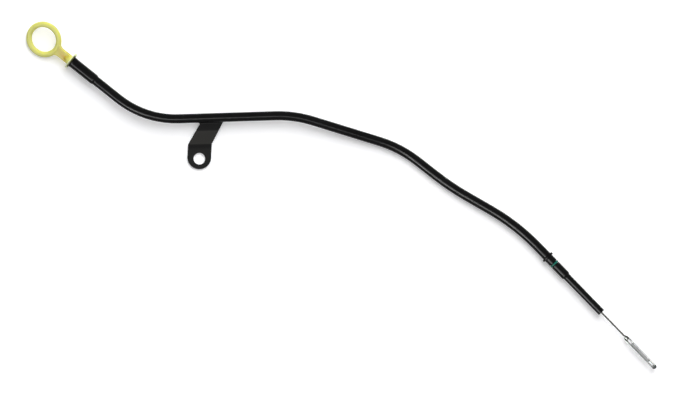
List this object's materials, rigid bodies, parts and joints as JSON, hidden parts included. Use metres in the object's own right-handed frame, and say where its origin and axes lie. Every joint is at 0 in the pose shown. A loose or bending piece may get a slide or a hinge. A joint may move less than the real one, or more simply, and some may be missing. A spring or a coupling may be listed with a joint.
{
  "type": "engine oil dipstick with guide tube",
  "caption": "Flexible engine oil dipstick with a yellow finger-ring handle, seated in its bent black guide tube with mounting bracket, bead and block seal.",
  "frame": {"origin": "centre of the bracket's bolt hole at the pad's underside, which lies in the plane that the part rests on", "axes": "+X along the straight run of tube under the bracket, towards the block end; +Y from the bolt hole towards the tube; +Z along the bolt hole, up"},
  "size_m": [0.6382, 0.3778, 0.0192],
  "materials": {
    "tube_paint": "black semi-gloss powder coat",
    "bracket_paint": "black semi-gloss powder coat",
    "yellow_nylon": "moulded, slightly translucent",
    "wire_steel": "drawn wire",
    "blade_steel": "rolled and hatched sheet",
    "ferrule_brass": "crimped",
    "seal_teal": "moulded",
    "plug_rubber": "moulded"
  },
  "bodies": {
    "root": {"handle": "yellow_nylon", "anchor_ferrule": "ferrule_brass", "plug_seal_upper": "plug_rubber", "plug_seal_lower": "plug_rubber", "indicator_wire": "wire_steel", "level_blade": "blade_steel", "guide_tube": "tube_paint", "block_seal": "seal_teal", "mounting_bracket": "bracket_paint"}
  },
  "joints": []
}
